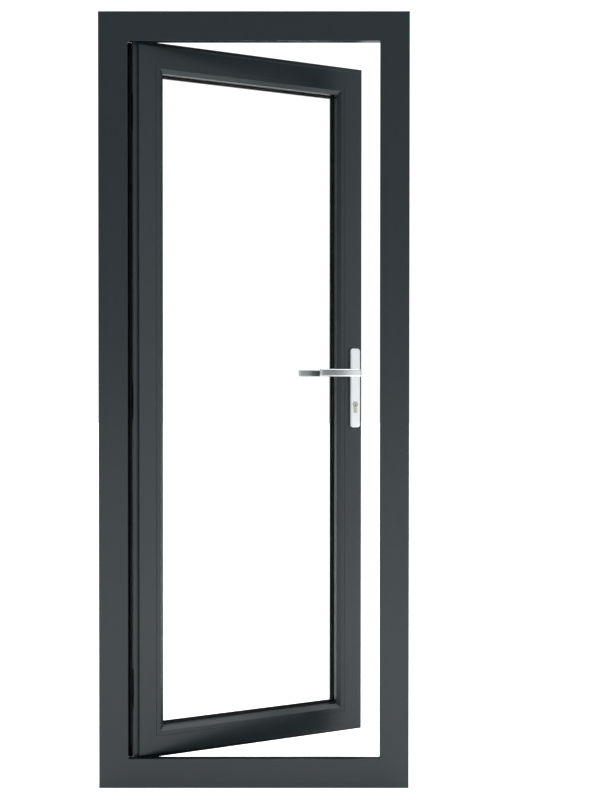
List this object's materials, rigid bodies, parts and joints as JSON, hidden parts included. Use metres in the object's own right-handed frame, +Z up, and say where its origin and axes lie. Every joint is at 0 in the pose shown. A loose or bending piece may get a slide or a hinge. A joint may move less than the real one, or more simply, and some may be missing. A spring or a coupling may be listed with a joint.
{
  "type": "glazed door with frame",
  "caption": "Glazed aluminium door leaf hung in a four-sided frame, opening away from the near side, with lever handles, latch, key cylinder and deadbolt.",
  "frame": {"origin": "middle of the frame's underside, half way through its depth, which is the middle of the sill face", "axes": "+X to the right seen from the near side, +Y away from the near side towards the side that the leaf opens to, +Z up"},
  "size_m": [0.84, 0.3564, 2.1],
  "materials": {
    "frame_coat": "satin anthracite powder coat",
    "leaf_coat": "satin anthracite powder coat",
    "bead_coat": "satin anthracite powder coat",
    "hinge_coat": "satin anthracite powder coat",
    "mill_aluminium": "mill finish",
    "seal_rubber": "black EPDM",
    "clear_glass": "clear laminated safety glass",
    "block_plastic": "moulded",
    "lock_steel": "zinc plated and brushed",
    "nickel": "satin nickel",
    "handle_aluminium": "satin silver anodised",
    "bush_nylon": "moulded nylon",
    "screw_steel": "stainless"
  },
  "bodies": {
    "frame": {"frame_head": "frame_coat", "frame_sill": "frame_coat", "frame_hinge_jamb": "frame_coat", "frame_lock_jamb": "frame_coat", "frame_corner_cleats": "mill_aluminium", "stop_seal": "seal_rubber", "strike_plate": "lock_steel", "strike_plate_screws": "screw_steel", "hinge_frame_screws": "screw_steel", "hinge_bottom_frame_knuckle": "hinge_coat", "hinge_middle_frame_knuckle": "hinge_coat", "hinge_top_frame_knuckle": "hinge_coat", "hinge_bottom_pin": "screw_steel", "hinge_middle_pin": "screw_steel", "hinge_top_pin": "screw_steel"},
    "leaf": {"leaf_hinge_stile": "leaf_coat", "leaf_lock_stile": "leaf_coat", "leaf_top_rail": "leaf_coat", "leaf_bottom_rail": "leaf_coat", "leaf_corner_cleats": "mill_aluminium", "glass_pane": "clear_glass", "bead_gasket": "seal_rubber", "lip_gasket": "seal_rubber", "glazing_bead_top": "bead_coat", "glazing_bead_bottom": "bead_coat", "glazing_bead_hinge_side": "bead_coat", "glazing_bead_lock_side": "bead_coat", "setting_blocks": "block_plastic", "rebate_seal": "seal_rubber", "hinge_caps": "hinge_coat", "hinge_leaf_screws": "screw_steel", "lock_case": "lock_steel", "lock_case_cover": "lock_steel", "lock_faceplate": "lock_steel", "faceplate_screws": "screw_steel", "cylinder_body": "nickel", "cylinder_screw": "screw_steel", "handle_plate_near": "handle_aluminium", "handle_plate_far": "handle_aluminium", "plate_bolts": "screw_steel", "handle_bush_near": "bush_nylon", "handle_bush_far": "bush_nylon", "hinge_bottom_leaf_knuckle": "hinge_coat", "hinge_middle_leaf_knuckle": "hinge_coat", "hinge_top_leaf_knuckle": "hinge_coat", "hinge_bottom_bush": "bush_nylon", "hinge_middle_bush": "bush_nylon", "hinge_top_bush": "bush_nylon"},
    "handle": {"lock_follower": "lock_steel", "spindle": "lock_steel", "lever_near": "handle_aluminium", "lever_far": "handle_aluminium", "lever_grub_screws": "screw_steel"},
    "latch": {"latch_bolt": "lock_steel"},
    "deadbolt": {"deadbolt": "lock_steel"},
    "key_plugs": {"cylinder_plug_near": "nickel", "cylinder_plug_far": "nickel", "cylinder_cam": "nickel"}
  },
  "joints": [
    {"name": "leaf_swing", "type": "hinge", "parent": "frame", "child": "leaf", "pos_m": [-0.352, 0.0395, 1.05], "axis": [0, 0, 1], "range_deg": [-22.1, 87.9]},
    {"name": "handle_turn", "type": "hinge", "parent": "leaf", "child": "handle", "pos_m": [0.28456, 0.25535, 1.13], "axis": [0.3762, -0.9265, 0], "range_deg": [0, 40], "stiffness_Nm_per_rad": 1.2, "springref_deg": -34.38},
    {"name": "latch_slide", "type": "slide", "parent": "leaf", "child": "latch", "axis": [-0.9265, -0.3762, 0], "range_m": [0, 0.011]},
    {"name": "key_turn", "type": "hinge", "parent": "leaf", "child": "key_plugs", "pos_m": [0.28456, 0.25535, 1.038], "axis": [-0.3762, 0.9265, 0], "range_deg": [0, 360]},
    {"name": "deadbolt_slide", "type": "slide", "parent": "leaf", "child": "deadbolt", "axis": [0.9265, 0.3762, 0], "range_m": [0, 0.02]}
  ],
  "couplings": [
    {"joint": "latch_slide", "follows": "handle_turn", "m_per_rad": 0.015755},
    {"joint": "key_turn", "follows": "deadbolt_slide", "rad_per_m": 314.13}
  ]
}
